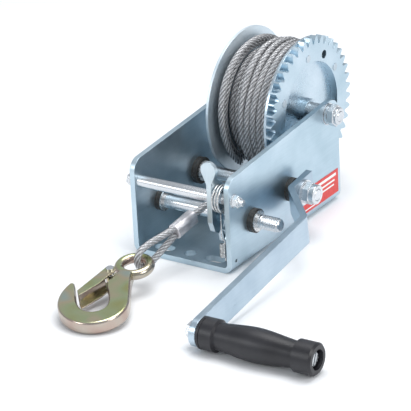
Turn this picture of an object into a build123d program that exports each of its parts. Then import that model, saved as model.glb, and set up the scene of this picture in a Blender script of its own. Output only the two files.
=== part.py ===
from build123d import *
import math
import os

# Two-speed hand winch for a boat trailer. Millimetres, +Z up, +X towards the crank side,
# -Y towards the side that the wire rope leaves. Origin: middle of the base bolt pattern,
# on the underside of the base.

# --- driving dimensions ---------------------------------------------------------------
FRAME_WIDTH = 104.0         # over the outer faces of the side plates
FRAME_LENGTH = 187.0
SHEET = 5.0                 # thickness of the folded frame
BEND_INNER = 4.0            # inner radius of the two folds
FRONT_HEIGHT = 88.5         # side plate height at the front edge
TOP_RISE = 0.08             # rise of the top edge per millimetre of length
FRONT_CORNER = 12.0         # radius of the front top corner
REAR_CORNER = 13.0          # radius of the rear top corner

BOLT_SPACING_X = 54.0       # base slots, across
BOLT_SPACING_Y = 163.0      # base slots, along
BOLT_HOLE = 11.0            # base hole diameter and slot width
BOLT_SLOT = 20.0            # overall length of a base slot

MODULE = 3.175              # gear tooth module, both stages
PRESSURE_ANGLE = 25.0       # degrees
TOOTH_PLAY = 0.15           # thinning of each tooth flank
DRUM_TEETH = 42
CRANK_PINION_TEETH = 10
CRANK_GEAR_TEETH = 25
LOW_PINION_TEETH = 15

DRUM_Y = 73.5               # drum axle position
DRUM_Z = 92.0
DRUM_TO_CRANK_ANGLE = 216.3     # direction from drum axle to crank shaft, degrees
CRANK_TO_LOW_ANGLE = 184.3      # direction from crank shaft to low gear shaft, degrees

FLANGE_RADIUS = 68.6
FLANGE_SHEET = 2.5
FLANGE_LEFT_X = -35.0       # outer face of the left flange rim
FLANGE_DISH = 4.0           # how far the left flange rim stands out
CONE_START = 35.0           # radii between which the left flange is coned
CONE_END = 49.0
FLANGE_RIGHT_X = 27.0       # inner face of the right flange
GEAR_WIDTH = 6.35           # drum gear face width
GEAR_RECESS_RADIUS = 46.0   # round opening in the drum gear
RIVET_CIRCLE = 51.5
RIVET_RADIUS = 3.5
RIVET_COUNT = 6
BARREL_RADIUS = 25.0
BARREL_WALL = 3.0
HUB_RADIUS = 11.0
HUB_LENGTH = 76.0
AXLE_TUBE_RADIUS = 8.0

AXLE_RADIUS = 5.0           # M10 axle bolt
SHAFT_RADIUS = 6.35         # both geared shafts
THREAD_RADIUS = 5.8         # M12 thread at the crank end of both shafts
SHAFT_STUB = 4.0            # shaft beyond the left side plate
SHAFT_END = 81.0            # x of the threaded end
DRIVE_FLATS = 9.5           # across the two flats that drive the crank bar
BUSH_RADIUS = 11.0
CRANK_BUSH_RADIUS = 12.5    # inside the left plate
LOW_BUSH_RADIUS = 9.8
BUSH_BODY_RADIUS = 8.5
BUSH_FLANGE = 5.0
CLIP_RADIUS = 9.5
CLIP_THICK = 1.2
CLIP_GROOVE_RADIUS = 5.5
STAGE_WIDTH = 6.4           # second stage gear width
STAGE_X = 37.5              # inner face of the second stage gear

TIE_Y = -86.5               # front tie bolt position
TIE_Z = 68.3
TIE_TUBE_RADIUS = 5.5
TIE_BOLT_RADIUS = 3.0

PAWL_X = 31.0               # inner face of the pawl plate
PAWL_THICK = 5.0
LOW_PINION_X = 37.0         # inner face of the low gear pinion
RATCHET_RADIUS = 19.0
TAB_RADIUS = 7.5            # rounded thumb tab of the pawl
RATCHET_ROOT = 15.0
RATCHET_TEETH = 12
RATCHET_TIP_HALF = 5.5      # half angles of a ratchet tooth at its tip and its root, degrees
RATCHET_ROOT_HALF = 7.5
RATCHET_START = 75.0        # angle of the first ratchet tooth, degrees
UPPER_CLAW = 85.5           # angles of the pawl's two claws about the low gear shaft
LOWER_CLAW = 208.3
CLAW_HALF = 3.8             # half angle of a claw's tip
COIL_RADIUS = 12.1          # coil spring round the tie tube
COIL_WIRE = 0.9             # radius of its wire
COIL_TURNS = 3
TENSION_RADIUS = 2.5        # tension spring near the front edge
TENSION_LENGTH = 13.0
TENSION_PITCH = 1.45
LINK_WIRE = 0.55            # radius of the tension spring's wire and its links
SPRING_FOOT_BACK = 7.6      # front edge to the hole for the spring's foot
SPRING_FOOT_Z = 10.6

ARM_WIDTH = 26.0            # crank bar
ARM_THICK = 6.0
ARM_PITCH = 7.0             # degrees below level
ARM_REACH = 231.8           # shaft axis to grip axis
ARM_HUB_X = 60.3            # inner face of the bar at the shaft
ARM_STEP_END = 54.5         # along the bar, shaft axis to the end of the crank step
ARM_STEP_X = 104.0          # outer face of the bar at the end of the step
ARM_FLARE = 0.96            # degrees that the bar leans outward beyond the step
ARM_HUB_FRONT = 14.5        # along the bar, shaft axis to the start of the crank step
ARM_HUB_REAR = 16.5
GRIP_BOLT_RADIUS = 4.0
HEAD_DEPTH = 7.5            # seat of the grip bolt's head below the end of the grip
HEAD_RADIUS = 7.0
HEAD_HEIGHT = 4.5
HEAD_POCKET = 8.8           # radius of the pocket round the head
GRIP_LENGTH = 110.0
GRIP_RADIUS = 14.1
GRIP_NECK = 11.3
GRIP_SWELL = 14.7

ROPE = 6.35                 # wire rope diameter
ROPE_PILE_RADIUS = 63.0     # outside of the wound rope
RIVET_START = 33.0          # angle of the first drum rivet, degrees
ANCHOR_ANGLE = 62.0         # rope anchor hole in the drum gear
ANCHOR_CIRCLE = 53.0
ANCHOR_RADIUS = 4.0
RUN = 0.05                  # running clearance, radial
GAP = 0.35                  # clearance between moving faces

ROPE_ROUTE = [(18.0, 36.0, 37.0), (18.0, 7.0, 57.0), (9.8, -54.7, 49.6)]
HOOK_EYE = Vector(-8.0, -155.5, 21.5)   # middle of the hook's eye
HOOK_FOOT = Vector(4.4, -250.2, 6.5)    # lowest part of the bowl
TO_FERRULE = 28.0           # last corner of the rope to the ferrule
FERRULE_LENGTH = 25.0
FERRULE_WIDTH = 12.0
FERRULE_HEIGHT = 13.4
EYE_RING_RADIUS = 13.4
EYE_WIRE_RADIUS = 4.5
LOOP_RADIUS = 9.0           # rope's loop round the eye
HOOK_THICK = 12.0
HOOK_RIM = 2.6              # rounding of the hook's faces into its sides
LATCH_SHEET = 1.4
LATCH_PIVOT = (19.5, -13.0)
LATCH_PIN_RADIUS = 2.2
LATCH_EYE = 5.0             # rounded end of the latch at its pin

LABEL_REAR = 4.0            # rear edge of the side plate to the label
LABEL_LOW = 9.2
LABEL_LENGTH = 65.0
LABEL_HEIGHT = 23.0

HALF = FRAME_WIDTH / 2
INNER = HALF - SHEET
FRONT = -FRAME_LENGTH / 2
SPRING_FOOT_Y = FRONT + SPRING_FOOT_BACK


def polar(angle, radius, y=0.0, z=0.0):
    turn = math.radians(angle)
    return (y + radius * math.cos(turn), z + radius * math.sin(turn))


CRANK_Y, CRANK_Z = polar(
    DRUM_TO_CRANK_ANGLE, MODULE * (DRUM_TEETH + CRANK_PINION_TEETH) / 2, DRUM_Y, DRUM_Z
)
LOW_Y, LOW_Z = polar(
    CRANK_TO_LOW_ANGLE, MODULE * (CRANK_GEAR_TEETH + LOW_PINION_TEETH) / 2, CRANK_Y, CRANK_Z
)
print("drum axle", DRUM_Y, DRUM_Z, "crank shaft", CRANK_Y, CRANK_Z, "low gear shaft", LOW_Y, LOW_Z)


# --- helpers --------------------------------------------------------------------------
def side(x, y=0.0, z=0.0):
    """Plane across the winch: local x is +Y, local y is +Z, normal +X."""
    return Plane(origin=(x, y, z), x_dir=(0, 1, 0), z_dir=(1, 0, 0))


def save(builder, name):
    builder.part.label = name
    export_step(builder.part, f"parts/{name}.step")


def rod(x0, x1, y, z, radius, bore=0.0):
    """Round bar or tube along X."""
    with BuildPart() as piece:
        with BuildSketch(side(x0, y, z)):
            Circle(radius)
            if bore:
                Circle(bore, mode=Mode.SUBTRACT)
        extrude(amount=x1 - x0)
    return piece


def tooth_angles(teeth, radius):
    """Half the tooth's angle at a radius, for an involute flank with play."""
    pitch = MODULE * teeth / 2
    base = pitch * math.cos(math.radians(PRESSURE_ANGLE))
    alpha = math.acos(min(1.0, base / radius))
    lean = math.tan(alpha) - alpha
    start = math.tan(math.radians(PRESSURE_ANGLE)) - math.radians(PRESSURE_ANGLE)
    return math.pi / (2 * teeth) + start - lean - TOOTH_PLAY / pitch


def gear_outline(teeth, phase):
    """Closed outline of an external gear, one tooth centre at the phase angle."""
    pitch = MODULE * teeth / 2
    base = pitch * math.cos(math.radians(PRESSURE_ANGLE))
    tip = pitch + MODULE
    root = pitch - 1.3 * MODULE
    low = max(base, root + 0.2)
    middle = (low + tip) / 2
    flank = [low, middle, tip]
    for index in range(teeth):
        centre = math.radians(phase) + index * 2 * math.pi / teeth
        follow = centre + 2 * math.pi / teeth
        rise = [polar(math.degrees(centre - tooth_angles(teeth, r)), r) for r in flank]
        fall = [polar(math.degrees(centre + tooth_angles(teeth, r)), r) for r in flank]
        foot = tooth_angles(teeth, low)
        ThreePointArc(*rise)
        Line(rise[-1], fall[-1])
        ThreePointArc(*reversed(fall))
        Line(fall[0], polar(math.degrees(centre + foot), root))
        ThreePointArc(
            polar(math.degrees(centre + foot), root),
            polar(math.degrees(centre + math.pi / teeth), root),
            polar(math.degrees(follow - foot), root),
        )
        Line(
            polar(math.degrees(follow - foot), root),
            polar(math.degrees(follow - tooth_angles(teeth, low)), low),
        )


def gear(teeth, phase, x, width, y, z, bore):
    with BuildPart() as piece:
        with BuildSketch(side(x, y, z)):
            with BuildLine():
                gear_outline(teeth, phase)
            make_face()
            Circle(bore, mode=Mode.SUBTRACT)
        extrude(amount=width)
    return piece


def nut(x, y, z, across, height, bore, collar=0.0, collar_radius=0.0):
    """Hexagon nut along X, with the round collar of a lock nut on its outer end."""
    with BuildPart() as piece:
        with BuildSketch(side(x, y, z)):
            RegularPolygon(across / math.sqrt(3), 6, rotation=20)
        extrude(amount=height)
        chamfer(piece.faces().sort_by(Axis.X)[-1].edges(), 0.6)
        if collar:
            with BuildSketch(side(x + height, y, z)):
                Circle(collar_radius)
            extrude(amount=collar)
            fillet(piece.faces().sort_by(Axis.X)[-1].edges(), 1.0)
        with BuildSketch(side(x - 1, y, z)):
            Circle(bore)
        extrude(amount=height + collar + 2, mode=Mode.SUBTRACT)
    return piece


# --- frame ----------------------------------------------------------------------------
def top_edge(y):
    return FRONT_HEIGHT + TOP_RISE * (y - FRONT)


def make_frame():
    outer_bend = BEND_INNER + SHEET
    with BuildPart() as frame:
        with BuildSketch(Plane.XZ.offset(-FRAME_LENGTH / 2)):
            height = top_edge(-FRONT) + 10
            with Locations((0, height / 2)):
                Rectangle(FRAME_WIDTH, height)
            with Locations((0, height / 2 + SHEET)):
                Rectangle(FRAME_WIDTH - 2 * SHEET, height, mode=Mode.SUBTRACT)
        extrude(amount=FRAME_LENGTH)
        lengthwise = frame.edges().filter_by(Axis.Y)
        fillet(lengthwise.group_by(Axis.Z)[0], outer_bend)
        lengthwise = frame.edges().filter_by(Axis.Y)
        inside = [
            edge
            for edge in lengthwise
            if abs(abs(edge.center().X) - INNER) < 0.01 and abs(edge.center().Z - SHEET) < 0.01
        ]
        fillet(inside, BEND_INNER)
        # the top edges slope up to the rear, with rounded corners
        with BuildSketch(side(-HALF - 1)):
            with BuildLine():
                Polyline(
                    (FRONT - 1, top_edge(FRONT - 1)),
                    (-FRONT + 1, top_edge(-FRONT + 1)),
                    (-FRONT + 1, 200),
                    (FRONT - 1, 200),
                    close=True,
                )
            make_face()
        extrude(amount=FRAME_WIDTH + 2, mode=Mode.SUBTRACT)
        rear = [e for e in frame.edges().filter_by(Axis.X)
                if e.center().Y > -FRONT - 0.1 and e.center().Z > FRONT_HEIGHT]
        fillet(rear, REAR_CORNER)
        front = [e for e in frame.edges().filter_by(Axis.X)
                 if e.center().Y < FRONT + 0.1 and e.center().Z > FRONT_HEIGHT - 1]
        fillet(front, FRONT_CORNER)
        # base: a round hole and two slots in a row, at both ends
        for row in (-BOLT_SPACING_Y / 2, BOLT_SPACING_Y / 2):
            with BuildSketch(Plane.XY):
                with Locations((0, row)):
                    Circle(BOLT_HOLE / 2)
                with Locations((-BOLT_SPACING_X / 2, row), (BOLT_SPACING_X / 2, row)):
                    SlotOverall(BOLT_SLOT, BOLT_HOLE)
            extrude(amount=SHEET, mode=Mode.SUBTRACT)
        # slot that the big second stage gear dips into
        tip = MODULE * (CRANK_GEAR_TEETH / 2 + 1)
        reach = math.sqrt(max(tip ** 2 - (CRANK_Z - SHEET) ** 2, 1.0)) + 4
        with BuildSketch(Plane.XY):
            with Locations((STAGE_X + STAGE_WIDTH / 2 - 1.5, CRANK_Y)):
                Rectangle(STAGE_WIDTH + 3, 2 * reach)
        extrude(amount=SHEET + BEND_INNER, mode=Mode.SUBTRACT)
        # holes through both side plates
        for y, z, radius in (
            (DRUM_Y, DRUM_Z, AXLE_RADIUS + 0.2),
            (CRANK_Y, CRANK_Z, BUSH_BODY_RADIUS),
            (LOW_Y, LOW_Z, BUSH_BODY_RADIUS),
            (TIE_Y, TIE_Z, TIE_BOLT_RADIUS + 0.2),
        ):
            with BuildSketch(side(-HALF - 1, y, z)):
                Circle(radius)
            extrude(amount=FRAME_WIDTH + 2, mode=Mode.SUBTRACT)
        # small hole for the foot of the pawl's tension spring
        with BuildSketch(side(INNER - 1, SPRING_FOOT_Y, SPRING_FOOT_Z)):
            Circle(1.6)
        extrude(amount=SHEET + 2, mode=Mode.SUBTRACT)
    save(frame, "frame")


# --- front tie bolt -------------------------------------------------------------------
def make_tie():
    washer = 1.2
    tube = rod(-INNER, INNER, TIE_Y, TIE_Z, TIE_TUBE_RADIUS, TIE_BOLT_RADIUS + 0.2)
    save(tube, "tie_tube")
    with BuildPart() as bolt:
        with BuildSketch(side(-HALF - washer, TIE_Y, TIE_Z)):
            Circle(TIE_BOLT_RADIUS)
        extrude(amount=FRAME_WIDTH + washer + 11)
        chamfer(bolt.faces().sort_by(Axis.X)[-1].edges(), 0.5)
        with BuildSketch(side(-HALF - washer - 4, TIE_Y, TIE_Z)):
            RegularPolygon(10 / math.sqrt(3), 6, rotation=10)
        extrude(amount=4)
    save(bolt, "tie_bolt")
    with BuildPart() as washers:
        for x in (-HALF - washer, HALF):
            with BuildSketch(side(x, TIE_Y, TIE_Z)):
                Circle(6.2)
                Circle(TIE_BOLT_RADIUS + 0.05, mode=Mode.SUBTRACT)
            extrude(amount=washer)
    save(washers, "tie_washers")
    save(nut(HALF + washer, TIE_Y, TIE_Z, 10, 4.8, TIE_BOLT_RADIUS, 1.6, 4.3), "tie_nut")


# --- drum axle ------------------------------------------------------------------------
def make_axle():
    flat = 2.0
    spring = 2.6
    tube = rod(-INNER, INNER, DRUM_Y, DRUM_Z, AXLE_TUBE_RADIUS, AXLE_RADIUS + 0.1)
    save(tube, "axle_tube")
    with BuildPart() as bolt:
        with BuildSketch(side(-HALF - flat, DRUM_Y, DRUM_Z)):
            Circle(AXLE_RADIUS)
        extrude(amount=FRAME_WIDTH + flat + 14.6)
        chamfer(bolt.faces().sort_by(Axis.X)[-1].edges(), 0.8)
        with BuildSketch(side(-HALF - flat - 7.5, DRUM_Y, DRUM_Z)):
            RegularPolygon(18 / math.sqrt(3), 6, rotation=5)
        extrude(amount=7.5)
    save(bolt, "axle_bolt")
    with BuildPart() as washers:
        for x, thick, radius in (
            (-HALF - flat, flat, 10.2),
            (HALF, flat, 10.2),
            (HALF + flat + 0.2, spring, 9.4),
        ):
            with BuildSketch(side(x, DRUM_Y, DRUM_Z)):
                Circle(radius)
                Circle(AXLE_RADIUS + 0.1, mode=Mode.SUBTRACT)
            extrude(amount=thick)
    save(washers, "axle_washers")
    start = HALF + flat + spring + 0.4
    save(nut(start, DRUM_Y, DRUM_Z, 18, 6.5, AXLE_RADIUS, 2.5, 8.0), "axle_nut")


# --- drum -----------------------------------------------------------------------------
def make_drum():
    right_face = FLANGE_RIGHT_X + FLANGE_SHEET
    left_inner = FLANGE_LEFT_X + FLANGE_SHEET + FLANGE_DISH
    hub_start = FLANGE_LEFT_X - 6
    hub = rod(hub_start, hub_start + HUB_LENGTH, DRUM_Y, DRUM_Z, HUB_RADIUS,
              AXLE_TUBE_RADIUS + RUN)
    save(hub, "drum_hub")
    barrel = rod(left_inner, FLANGE_RIGHT_X, DRUM_Y, DRUM_Z, BARREL_RADIUS,
                 BARREL_RADIUS - BARREL_WALL)
    save(barrel, "drum_barrel")
    # left flange: flat middle, coned out to a flat rim
    with BuildPart() as left:
        with BuildSketch(Plane(origin=(0, DRUM_Y, DRUM_Z), x_dir=(1, 0, 0), z_dir=(0, -1, 0))):
            rim = FLANGE_LEFT_X
            mid = FLANGE_LEFT_X + FLANGE_DISH
            with BuildLine():
                Polyline(
                    (mid, HUB_RADIUS), (mid, CONE_START - 1), (rim, CONE_END - 1), (rim, FLANGE_RADIUS),
                    (rim + FLANGE_SHEET, FLANGE_RADIUS), (rim + FLANGE_SHEET, CONE_END),
                    (mid + FLANGE_SHEET, CONE_START), (mid + FLANGE_SHEET, HUB_RADIUS), close=True,
                )
            make_face()
        revolve(axis=Axis((0, DRUM_Y, DRUM_Z), (1, 0, 0)))
    save(left, "drum_flange_left")
    anchor = polar(ANCHOR_ANGLE, ANCHOR_CIRCLE)
    with BuildPart() as right:
        with BuildSketch(side(FLANGE_RIGHT_X, DRUM_Y, DRUM_Z)):
            Circle(FLANGE_RADIUS)
            Circle(HUB_RADIUS, mode=Mode.SUBTRACT)
            with Locations(anchor):
                Circle(ANCHOR_RADIUS, mode=Mode.SUBTRACT)
            with PolarLocations(RIVET_CIRCLE, RIVET_COUNT, start_angle=RIVET_START):
                Circle(RIVET_RADIUS, mode=Mode.SUBTRACT)
        extrude(amount=FLANGE_SHEET)
    save(right, "drum_flange_right")
    with BuildPart() as ring:
        with BuildSketch(side(right_face, DRUM_Y, DRUM_Z)):
            with BuildLine():
                gear_outline(DRUM_TEETH, DRUM_TO_CRANK_ANGLE)
            make_face()
            Circle(GEAR_RECESS_RADIUS, mode=Mode.SUBTRACT)
            with Locations(anchor):
                Circle(ANCHOR_RADIUS, mode=Mode.SUBTRACT)
            with PolarLocations(RIVET_CIRCLE, RIVET_COUNT, start_angle=RIVET_START):
                Circle(RIVET_RADIUS, mode=Mode.SUBTRACT)
        extrude(amount=GEAR_WIDTH)
    save(ring, "drum_gear")
    with BuildPart() as rivets:
        with BuildSketch(side(FLANGE_RIGHT_X, DRUM_Y, DRUM_Z)):
            with PolarLocations(RIVET_CIRCLE, RIVET_COUNT, start_angle=RIVET_START):
                Circle(RIVET_RADIUS)
        extrude(amount=FLANGE_SHEET + GEAR_WIDTH + 0.4)
    save(rivets, "drum_rivets")
    # wound rope: the outer shape of the whole winding, scalloped where turns lie
    rim_x = FLANGE_LEFT_X + FLANGE_SHEET + GAP
    last = FLANGE_RIGHT_X - GAP
    turns = int((last - rim_x) / (ROPE + 0.9))
    pitch = (last - rim_x) / turns
    crest = ROPE_PILE_RADIUS - ROPE / 2
    with BuildPart() as winding:
        with BuildSketch(Plane(origin=(0, DRUM_Y, DRUM_Z), x_dir=(1, 0, 0), z_dir=(0, -1, 0))):
            with BuildLine():
                Polyline(
                    (last, crest), (last, BARREL_RADIUS), (left_inner + GAP, BARREL_RADIUS),
                    (left_inner + GAP, CONE_START), (rim_x, CONE_END), (rim_x, crest),
                )
                for index in range(turns):
                    x = rim_x + index * pitch
                    ThreePointArc((x, crest), (x + pitch / 2, crest + ROPE / 2),
                                  (x + pitch, crest))
            make_face()
        revolve(axis=Axis((0, DRUM_Y, DRUM_Z), (1, 0, 0)))
    save(winding, "rope_winding")


# --- geared shafts --------------------------------------------------------------------
CLIP_INSIDE = -INNER + BUSH_FLANGE + GAP
CLIP_OUTSIDE = HALF + BUSH_FLANGE + GAP


def make_shaft(y, z, name):
    with BuildPart() as shaft:
        with BuildSketch(side(-HALF - SHAFT_STUB, y, z)):
            Circle(SHAFT_RADIUS)
        extrude(amount=ARM_HUB_X + HALF + SHAFT_STUB)
        with BuildSketch(side(ARM_HUB_X, y, z)):
            Circle(THREAD_RADIUS)
        extrude(amount=SHAFT_END - ARM_HUB_X)
        chamfer(shaft.faces().sort_by(Axis.X)[-1].edges(), 1.0)
        # two flats that drive the crank bar
        with BuildSketch(side(ARM_HUB_X, y, z)):
            Circle(THREAD_RADIUS + 1)
            Rectangle(40, DRIVE_FLATS, mode=Mode.SUBTRACT)
        extrude(amount=ARM_THICK, mode=Mode.SUBTRACT)
        for x in (CLIP_INSIDE, CLIP_OUTSIDE):
            with BuildSketch(side(x, y, z)):
                Circle(SHAFT_RADIUS + 1)
                Circle(CLIP_GROOVE_RADIUS, mode=Mode.SUBTRACT)
            extrude(amount=CLIP_THICK, mode=Mode.SUBTRACT)
    save(shaft, name)


def make_clips(y, z, name):
    with BuildPart() as clips:
        for x in (CLIP_INSIDE, CLIP_OUTSIDE):
            with BuildSketch(side(x, y, z)):
                Circle(CLIP_RADIUS)
                Circle(CLIP_GROOVE_RADIUS, mode=Mode.SUBTRACT)
            extrude(amount=CLIP_THICK)
    save(clips, name)


def make_bushes():
    with BuildPart() as bushes:
        for y, z in ((CRANK_Y, CRANK_Z), (LOW_Y, LOW_Z)):
            for x, toward in ((-HALF, 1), (HALF, -1)):
                with BuildSketch(side(x, y, z)):
                    Circle(BUSH_BODY_RADIUS)
                    Circle(SHAFT_RADIUS + RUN, mode=Mode.SUBTRACT)
                extrude(amount=toward * SHEET)
            inner_radius = CRANK_BUSH_RADIUS if y == CRANK_Y else LOW_BUSH_RADIUS
            for x, flange_radius in ((-INNER, inner_radius), (HALF, BUSH_RADIUS)):
                with BuildSketch(side(x, y, z)):
                    Circle(flange_radius)
                    Circle(SHAFT_RADIUS + RUN, mode=Mode.SUBTRACT)
                extrude(amount=BUSH_FLANGE)
    save(bushes, "shaft_bushes")


def make_gears():
    right_face = FLANGE_RIGHT_X + FLANGE_SHEET
    pinion_x = right_face + 0.4
    mesh_gap = DRUM_TO_CRANK_ANGLE + 180 + 180 / CRANK_PINION_TEETH
    save(gear(CRANK_PINION_TEETH, mesh_gap, pinion_x, STAGE_X - pinion_x,
              CRANK_Y, CRANK_Z, SHAFT_RADIUS), "crank_pinion")
    save(gear(CRANK_GEAR_TEETH, CRANK_TO_LOW_ANGLE, STAGE_X, STAGE_WIDTH,
              CRANK_Y, CRANK_Z, SHAFT_RADIUS), "crank_gear")
    mesh_gap = CRANK_TO_LOW_ANGLE + 180 + 180 / LOW_PINION_TEETH
    save(gear(LOW_PINION_TEETH, mesh_gap, LOW_PINION_X, INNER - 1.5 - LOW_PINION_X,
              LOW_Y, LOW_Z, SHAFT_RADIUS), "low_pinion")
    gear_end = STAGE_X + STAGE_WIDTH
    save(rod(gear_end, INNER - GAP, CRANK_Y, CRANK_Z, 9.5, SHAFT_RADIUS), "crank_spacer")
    with BuildPart() as wheel:
        with BuildSketch(side(PAWL_X, LOW_Y, LOW_Z)):
            with BuildLine():
                for index in range(RATCHET_TEETH):
                    step = 360 / RATCHET_TEETH
                    centre = RATCHET_START + index * step
                    rise = polar(centre - RATCHET_TIP_HALF, RATCHET_RADIUS)
                    fall = polar(centre + RATCHET_TIP_HALF, RATCHET_RADIUS)
                    foot = polar(centre + RATCHET_ROOT_HALF, RATCHET_ROOT)
                    Line(polar(centre - RATCHET_ROOT_HALF, RATCHET_ROOT), rise)
                    Line(rise, fall)
                    Line(fall, foot)
                    Line(foot, polar(centre + step - RATCHET_ROOT_HALF, RATCHET_ROOT))
            make_face()
            Circle(SHAFT_RADIUS, mode=Mode.SUBTRACT)
        extrude(amount=PAWL_THICK)
        with BuildSketch(side(PAWL_X + PAWL_THICK, LOW_Y, LOW_Z)):
            Circle(RATCHET_ROOT - 3)
            Circle(SHAFT_RADIUS, mode=Mode.SUBTRACT)
        extrude(amount=LOW_PINION_X - PAWL_X - PAWL_THICK)
    save(wheel, "ratchet_wheel")


# --- two-way pawl ---------------------------------------------------------------------
def make_pawl():
    claw = RATCHET_RADIUS + 1.5
    cradle = RATCHET_RADIUS + 5.2
    upper = [polar(a, claw, LOW_Y, LOW_Z) for a in (UPPER_CLAW - CLAW_HALF, UPPER_CLAW + CLAW_HALF)]
    lower = [polar(a, claw, LOW_Y, LOW_Z) for a in (LOWER_CLAW - CLAW_HALF, LOWER_CLAW + CLAW_HALF)]
    arc = [polar(a, cradle, LOW_Y, LOW_Z) for a in (UPPER_CLAW + 9, 147, LOWER_CLAW - 9)]
    with BuildPart() as pawl:
        with BuildSketch(side(PAWL_X)):
            with BuildLine():
                Polyline(
                    upper[1], upper[0],
                    polar(UPPER_CLAW - 6, claw + 6, LOW_Y, LOW_Z),
                    (TIE_Y + 20, TIE_Z + 7),
                    (TIE_Y + 9, TIE_Z + 11),
                    (TIE_Y - 1, TIE_Z + 19),
                    (TIE_Y - 5.5, TIE_Z + 25),
                    (TIE_Y - 9.5, TIE_Z + 25),
                    (TIE_Y - 10, TIE_Z - 21),
                    (TIE_Y - 6.5, TIE_Z - 30),
                    (TIE_Y - 0.5, TIE_Z - 34),
                    (TIE_Y + 2.5, TIE_Z - 30),
                    (TIE_Y + 5, TIE_Z - 34),
                    polar(LOWER_CLAW + 5, claw + 7, LOW_Y, LOW_Z),
                    lower[1], lower[0],
                    arc[2],
                )
                ThreePointArc(arc[2], arc[1], arc[0])
                Line(arc[0], upper[1])
            make_face()
            with Locations((TIE_Y, TIE_Z)):
                Circle(TIE_TUBE_RADIUS + RUN, mode=Mode.SUBTRACT)
        extrude(amount=PAWL_THICK)
        # thumb tab across the top of the front edge
        middle = PAWL_X + PAWL_THICK / 2
        tab = Plane(origin=(middle, TIE_Y - 5.5, TIE_Z), x_dir=(1, 0, 0), z_dir=(0, -1, 0))
        half = PAWL_THICK / 2
        with BuildSketch(tab):
            with BuildLine():
                Polyline((-half, 15), (-TAB_RADIUS, 26.5))
                ThreePointArc((-TAB_RADIUS, 28.7), (0, 28.7 + TAB_RADIUS), (TAB_RADIUS, 28.7))
                Polyline((TAB_RADIUS, 28.7), (TAB_RADIUS, 26.5), (half, 15), (-half, 15))
                Line((-TAB_RADIUS, 26.5), (-TAB_RADIUS, 28.7))
            make_face()
        extrude(amount=4)
    save(pawl, "pawl")
    start = PAWL_X + PAWL_THICK
    save(rod(start, start + 5.5, TIE_Y, TIE_Z, 8.0, TIE_TUBE_RADIUS + RUN), "pawl_sleeve")


def make_springs():
    start = PAWL_X + PAWL_THICK + COIL_WIRE + GAP
    height = INNER - GAP - COIL_WIRE - start
    with BuildPart() as coil:
        with BuildLine() as path:
            Helix(pitch=height / COIL_TURNS, height=height, radius=COIL_RADIUS,
                  center=(start, TIE_Y, TIE_Z), direction=(1, 0, 0))
        with BuildSketch(Plane(origin=path.line @ 0, z_dir=path.line % 0)):
            Circle(COIL_WIRE)
        sweep(is_frenet=True)
    save(coil, "pawl_coil_spring")
    x = INNER - 4.0
    y = FRONT + 0.8
    low = SPRING_FOOT_Z + 4.5
    with BuildPart() as tension:
        with BuildLine() as path:
            Helix(pitch=TENSION_PITCH, height=TENSION_LENGTH, radius=TENSION_RADIUS, center=(x, y, low))
        with BuildSketch(Plane(origin=path.line @ 0, z_dir=path.line % 0)):
            Circle(LINK_WIRE)
        sweep(is_frenet=True)
    save(tension, "pawl_tension_spring")
    # wires that carry the tension spring: foot into the side plate, link up to the coil
    high = low + TENSION_LENGTH
    with BuildPart() as links:
        with BuildLine() as foot:
            FilletPolyline(
                (x + TENSION_RADIUS, y, low), (x + TENSION_RADIUS, y, SPRING_FOOT_Z + 1.5),
                (x + 1.2, SPRING_FOOT_Y, SPRING_FOOT_Z), (HALF + 1.2, SPRING_FOOT_Y, SPRING_FOOT_Z),
                radius=0.9,
            )
        with BuildSketch(Plane(origin=foot.line @ 0, z_dir=foot.line % 0)):
            Circle(LINK_WIRE)
        sweep()
        reach = math.sqrt(COIL_RADIUS ** 2 - (y - TIE_Y) ** 2)
        with BuildLine() as link:
            FilletPolyline(
                (x + TENSION_RADIUS, y, high), (x + TENSION_RADIUS, y, high + 3), (x - 0.5, y, high + 5),
                (x - 0.5, y, TIE_Z - reach - 1.6), radius=1.2,
            )
        with BuildSketch(Plane(origin=link.line @ 0, z_dir=link.line % 0)):
            Circle(LINK_WIRE)
        sweep()
    save(links, "pawl_spring_links")


# --- crank ----------------------------------------------------------------------------
PITCH = math.radians(ARM_PITCH)
FLARE = math.radians(ARM_FLARE)
ARM_ALONG = Vector(0, -math.cos(PITCH), -math.sin(PITCH))
ARM_ACROSS = Vector(0, -math.sin(PITCH), math.cos(PITCH))
SIDEWAYS = Vector(1, 0, 0)
GRIP_AXIS = SIDEWAYS * math.cos(FLARE) - ARM_ALONG * math.sin(FLARE)
GRIP_X = ARM_STEP_X + (ARM_REACH - ARM_STEP_END) * math.tan(FLARE)
GRIP_FOOT = Vector(GRIP_X, CRANK_Y, CRANK_Z) + ARM_ALONG * ARM_REACH
BAR_END = Plane(origin=GRIP_FOOT, x_dir=SIDEWAYS * math.sin(FLARE) + ARM_ALONG * math.cos(FLARE),
                z_dir=GRIP_AXIS)
GRIP_SIDE = Plane(origin=GRIP_FOOT, x_dir=GRIP_AXIS, z_dir=ARM_ACROSS)
print("grip axis passes", GRIP_FOOT, "along", GRIP_AXIS)


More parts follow.
